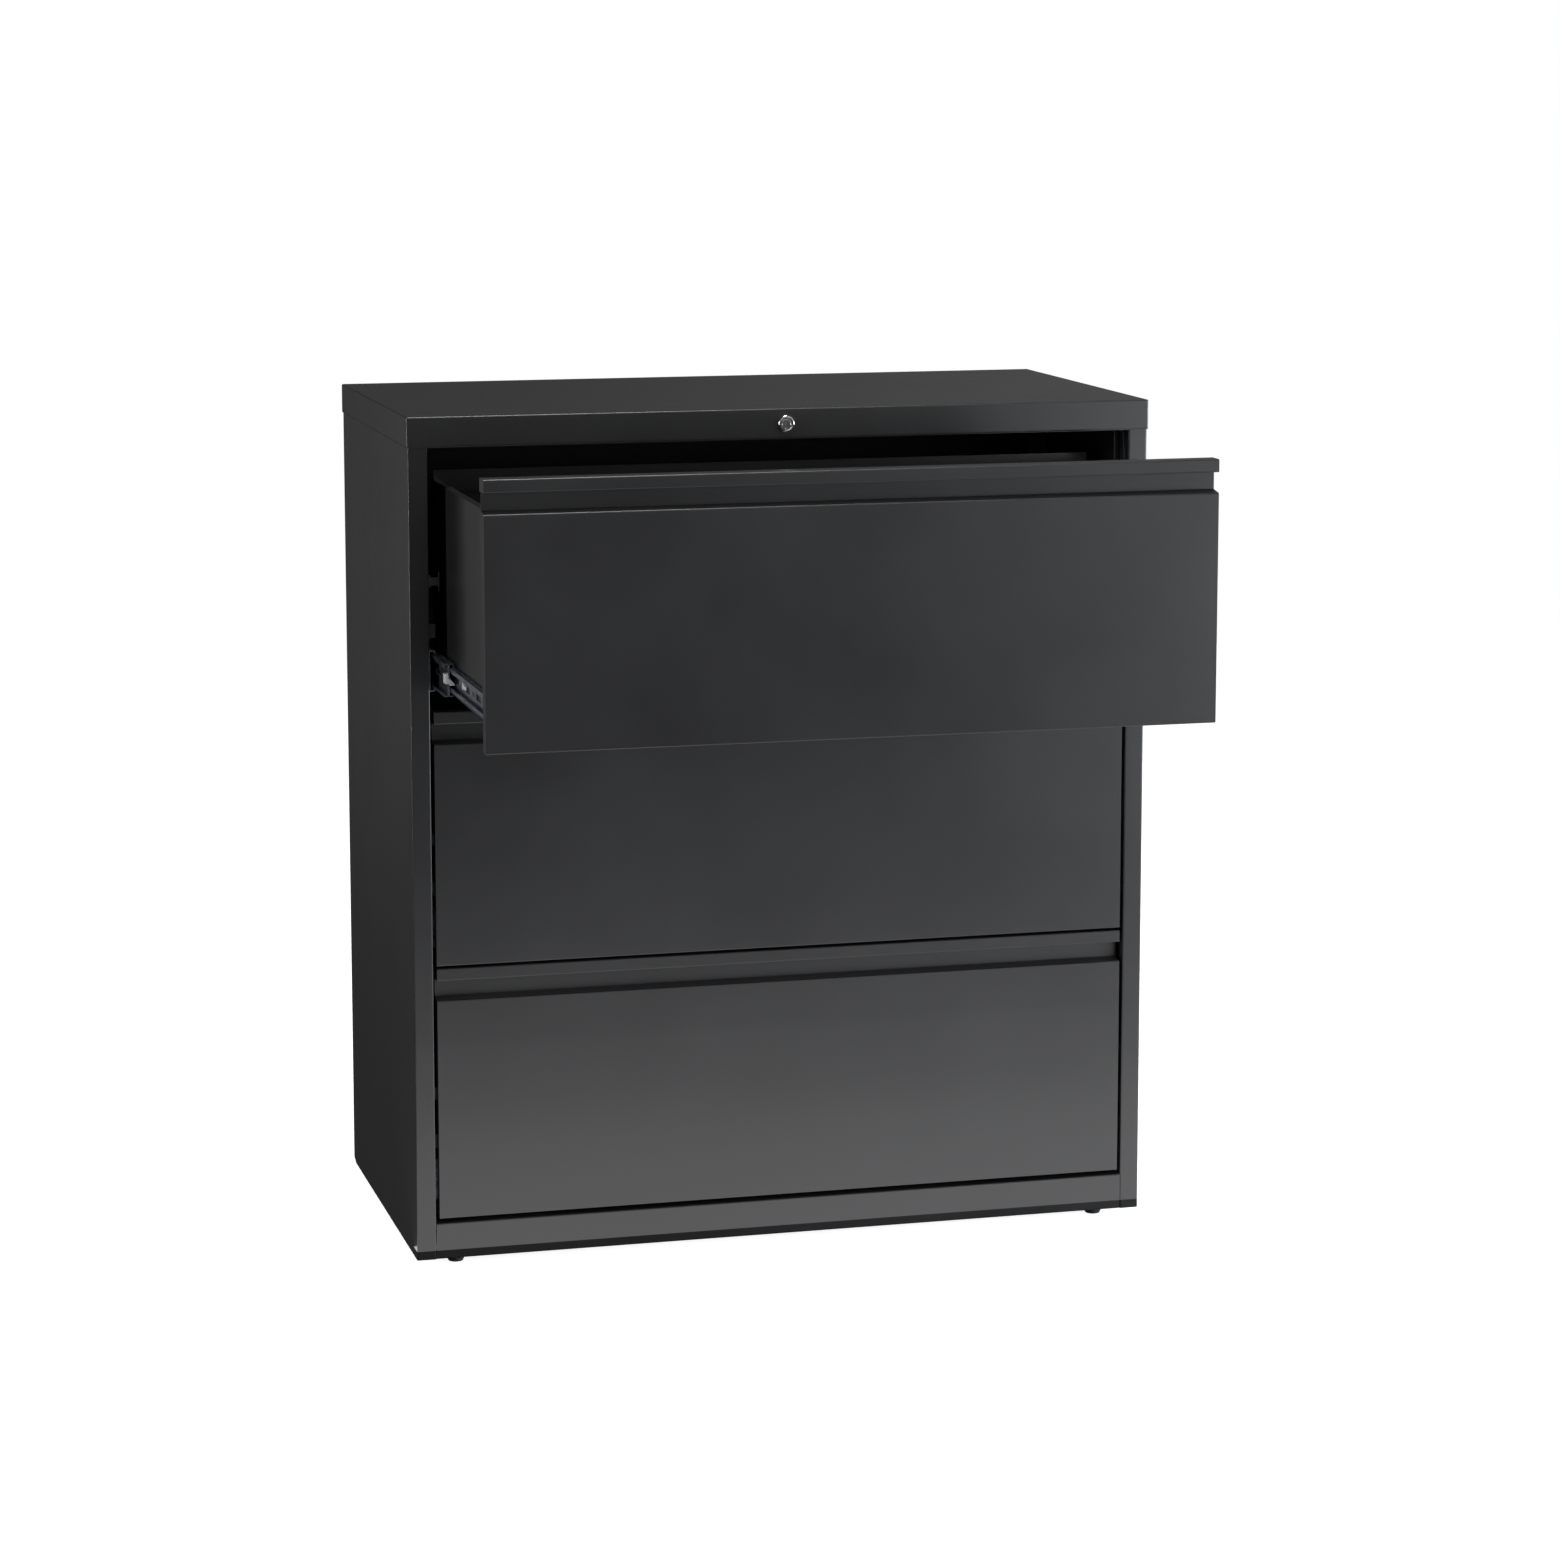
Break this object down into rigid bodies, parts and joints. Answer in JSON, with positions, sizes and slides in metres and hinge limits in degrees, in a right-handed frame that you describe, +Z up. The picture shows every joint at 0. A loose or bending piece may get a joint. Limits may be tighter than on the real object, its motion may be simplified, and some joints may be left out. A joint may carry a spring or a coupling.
{
  "type": "lateral filing cabinet",
  "caption": "Steel lateral filing cabinet with full-width pull drawers on telescopic ball slides, a cap-mounted lock and levelling glides, upper drawer standing open.",
  "frame": {"origin": "on the floor, at the middle of the rectangle that the cabinet covers with its upper drawer standing open as stored: on the centre line, 76.2 mm behind the cap's front face", "axes": "+Z up, -Y the way the drawers open, +X to the right of a person facing the drawers"},
  "size_m": [0.9144, 0.7938, 1.0224],
  "materials": {
    "charcoal_paint": "semi-gloss baked enamel",
    "zinc_plated_steel": "bright zinc plate",
    "cage_steel": "plain steel",
    "bare_steel": "mill finish",
    "chrome": "polished",
    "white_nylon": "moulded nylon",
    "black_plastic": "moulded"
  },
  "bodies": {
    "cabinet": {"top_cap": "charcoal_paint", "left_side_panel": "charcoal_paint", "right_side_panel": "charcoal_paint", "back_panel": "charcoal_paint", "back_panel_screws": "zinc_plated_steel", "front_base_rail": "charcoal_paint", "rear_base_rail": "charcoal_paint", "bottom_panel": "charcoal_paint", "counterweight": "bare_steel", "left_slide_uprights": "charcoal_paint", "right_slide_uprights": "charcoal_paint", "glide_nuts": "zinc_plated_steel", "lock_housing": "chrome", "lock_nut": "zinc_plated_steel", "lock_bracket": "zinc_plated_steel", "bar_studs": "zinc_plated_steel", "bottom_drawer_cabinet_members": "zinc_plated_steel", "middle_drawer_cabinet_members": "zinc_plated_steel", "top_drawer_cabinet_members": "zinc_plated_steel"},
    "bottom_drawer": {"bottom_drawer_front": "charcoal_paint", "bottom_drawer_liner": "charcoal_paint", "bottom_drawer_tray": "charcoal_paint", "bottom_drawer_back": "charcoal_paint", "bottom_drawer_hangrails": "charcoal_paint", "bottom_drawer_drawer_members": "zinc_plated_steel"},
    "bottom_drawer_middle_slides": {"bottom_drawer_intermediate_members": "zinc_plated_steel", "bottom_drawer_slide_bumpers": "white_nylon"},
    "bottom_drawer_outer_cages": {"bottom_drawer_outer_ball_cages": "cage_steel"},
    "bottom_drawer_inner_cages": {"bottom_drawer_inner_ball_cages": "cage_steel"},
    "middle_drawer": {"middle_drawer_front": "charcoal_paint", "middle_drawer_liner": "charcoal_paint", "middle_drawer_tray": "charcoal_paint", "middle_drawer_back": "charcoal_paint", "middle_drawer_hangrails": "charcoal_paint", "middle_drawer_drawer_members": "zinc_plated_steel"},
    "middle_drawer_middle_slides": {"middle_drawer_intermediate_members": "zinc_plated_steel", "middle_drawer_slide_bumpers": "white_nylon"},
    "middle_drawer_outer_cages": {"middle_drawer_outer_ball_cages": "cage_steel"},
    "middle_drawer_inner_cages": {"middle_drawer_inner_ball_cages": "cage_steel"},
    "top_drawer": {"top_drawer_front": "charcoal_paint", "top_drawer_liner": "charcoal_paint", "top_drawer_tray": "charcoal_paint", "top_drawer_back": "charcoal_paint", "top_drawer_hangrails": "charcoal_paint", "top_drawer_drawer_members": "zinc_plated_steel"},
    "top_drawer_middle_slides": {"top_drawer_intermediate_members": "zinc_plated_steel", "top_drawer_slide_bumpers": "white_nylon"},
    "top_drawer_outer_cages": {"top_drawer_outer_ball_cages": "cage_steel"},
    "top_drawer_inner_cages": {"top_drawer_inner_ball_cages": "cage_steel"},
    "lock_cylinder": {"lock_plug": "chrome", "lock_cam": "zinc_plated_steel"},
    "crossbar": {"lock_crossbar": "zinc_plated_steel"},
    "bellcrank": {"lock_bellcrank": "zinc_plated_steel"},
    "lock_lift_bar": {"lock_bar": "zinc_plated_steel"},
    "interlock_lift_bar": {"interlock_bar": "zinc_plated_steel"},
    "front_left_glide_foot": {"front_left_glide": "black_plastic"},
    "front_right_glide_foot": {"front_right_glide": "black_plastic"},
    "rear_left_glide_foot": {"rear_left_glide": "black_plastic"},
    "rear_right_glide_foot": {"rear_right_glide": "black_plastic"}
  },
  "joints": [
    {"name": "bottom_drawer_slide", "type": "slide", "parent": "cabinet", "child": "bottom_drawer", "axis": [0, -1, 0], "range_m": [0, 0.4]},
    {"name": "bottom_drawer_middle_slides_slide", "type": "slide", "parent": "cabinet", "child": "bottom_drawer_middle_slides", "axis": [0, -1, 0], "range_m": [0, 0.2]},
    {"name": "bottom_drawer_outer_cages_slide", "type": "slide", "parent": "cabinet", "child": "bottom_drawer_outer_cages", "axis": [0, -1, 0], "range_m": [0, 0.1]},
    {"name": "bottom_drawer_inner_cages_slide", "type": "slide", "parent": "cabinet", "child": "bottom_drawer_inner_cages", "axis": [0, -1, 0], "range_m": [0, 0.3]},
    {"name": "middle_drawer_slide", "type": "slide", "parent": "cabinet", "child": "middle_drawer", "axis": [0, -1, 0], "range_m": [0, 0.4]},
    {"name": "middle_drawer_middle_slides_slide", "type": "slide", "parent": "cabinet", "child": "middle_drawer_middle_slides", "axis": [0, -1, 0], "range_m": [0, 0.2]},
    {"name": "middle_drawer_outer_cages_slide", "type": "slide", "parent": "cabinet", "child": "middle_drawer_outer_cages", "axis": [0, -1, 0], "range_m": [0, 0.1]},
    {"name": "middle_drawer_inner_cages_slide", "type": "slide", "parent": "cabinet", "child": "middle_drawer_inner_cages", "axis": [0, -1, 0], "range_m": [0, 0.3]},
    {"name": "top_drawer_slide", "type": "slide", "parent": "cabinet", "child": "top_drawer", "axis": [0, -1, 0], "range_m": [-0.322, 0.078]},
    {"name": "top_drawer_middle_slides_slide", "type": "slide", "parent": "cabinet", "child": "top_drawer_middle_slides", "axis": [0, -1, 0], "range_m": [-0.161, 0.039]},
    {"name": "top_drawer_outer_cages_slide", "type": "slide", "parent": "cabinet", "child": "top_drawer_outer_cages", "axis": [0, -1, 0], "range_m": [-0.0805, 0.0195]},
    {"name": "top_drawer_inner_cages_slide", "type": "slide", "parent": "cabinet", "child": "top_drawer_inner_cages", "axis": [0, -1, 0], "range_m": [-0.2415, 0.0585]},
    {"name": "lock_turn", "type": "hinge", "parent": "cabinet", "child": "lock_cylinder", "pos_m": [0, -0.0762, 1.0041], "axis": [0, -1, 0], "range_deg": [0, 90]},
    {"name": "crossbar_slide", "type": "slide", "parent": "cabinet", "child": "crossbar", "axis": [-1, 0, 0], "range_m": [0, 0.01414]},
    {"name": "bellcrank_turn", "type": "hinge", "parent": "cabinet", "child": "bellcrank", "pos_m": [0.405, -0.0402, 0.996], "axis": [0, -1, 0], "range_deg": [0, 45.17]},
    {"name": "lock_bar_lift", "type": "slide", "parent": "cabinet", "child": "lock_lift_bar", "axis": [0, 0, 1], "range_m": [0, 0.01414]},
    {"name": "interlock_bar_lift", "type": "slide", "parent": "cabinet", "child": "interlock_lift_bar", "axis": [0, 0, 1], "range_m": [0, 0.01]},
    {"name": "front_left_glide_turn", "type": "hinge", "parent": "cabinet", "child": "front_left_glide_foot", "pos_m": [-0.405, -0.0502, 0.009], "axis": [0, 0, 1], "continuous": true},
    {"name": "front_right_glide_turn", "type": "hinge", "parent": "cabinet", "child": "front_right_glide_foot", "pos_m": [0.405, -0.0502, 0.009], "axis": [0, 0, 1], "continuous": true},
    {"name": "rear_left_glide_turn", "type": "hinge", "parent": "cabinet", "child": "rear_left_glide_foot", "pos_m": [-0.405, 0.3709, 0.009], "axis": [0, 0, 1], "continuous": true},
    {"name": "rear_right_glide_turn", "type": "hinge", "parent": "cabinet", "child": "rear_right_glide_foot", "pos_m": [0.405, 0.3709, 0.009], "axis": [0, 0, 1], "continuous": true}
  ],
  "couplings": [
    {"joint": "bottom_drawer_middle_slides_slide", "follows": "bottom_drawer_slide", "ratio": 0.5},
    {"joint": "bottom_drawer_outer_cages_slide", "follows": "bottom_drawer_slide", "ratio": 0.25},
    {"joint": "bottom_drawer_inner_cages_slide", "follows": "bottom_drawer_slide", "ratio": 0.75},
    {"joint": "middle_drawer_middle_slides_slide", "follows": "middle_drawer_slide", "ratio": 0.5},
    {"joint": "middle_drawer_outer_cages_slide", "follows": "middle_drawer_slide", "ratio": 0.25},
    {"joint": "middle_drawer_inner_cages_slide", "follows": "middle_drawer_slide", "ratio": 0.75},
    {"joint": "top_drawer_middle_slides_slide", "follows": "top_drawer_slide", "ratio": 0.5},
    {"joint": "top_drawer_outer_cages_slide", "follows": "top_drawer_slide", "ratio": 0.25},
    {"joint": "top_drawer_inner_cages_slide", "follows": "top_drawer_slide", "ratio": 0.75},
    {"joint": "crossbar_slide", "follows": "lock_bar_lift", "ratio": 1},
    {"joint": "bellcrank_turn", "follows": "lock_bar_lift", "rad_per_m": 55.745},
    {"joint": "lock_turn", "follows": "lock_bar_lift", "rad_per_m": 111.07}
  ]
}
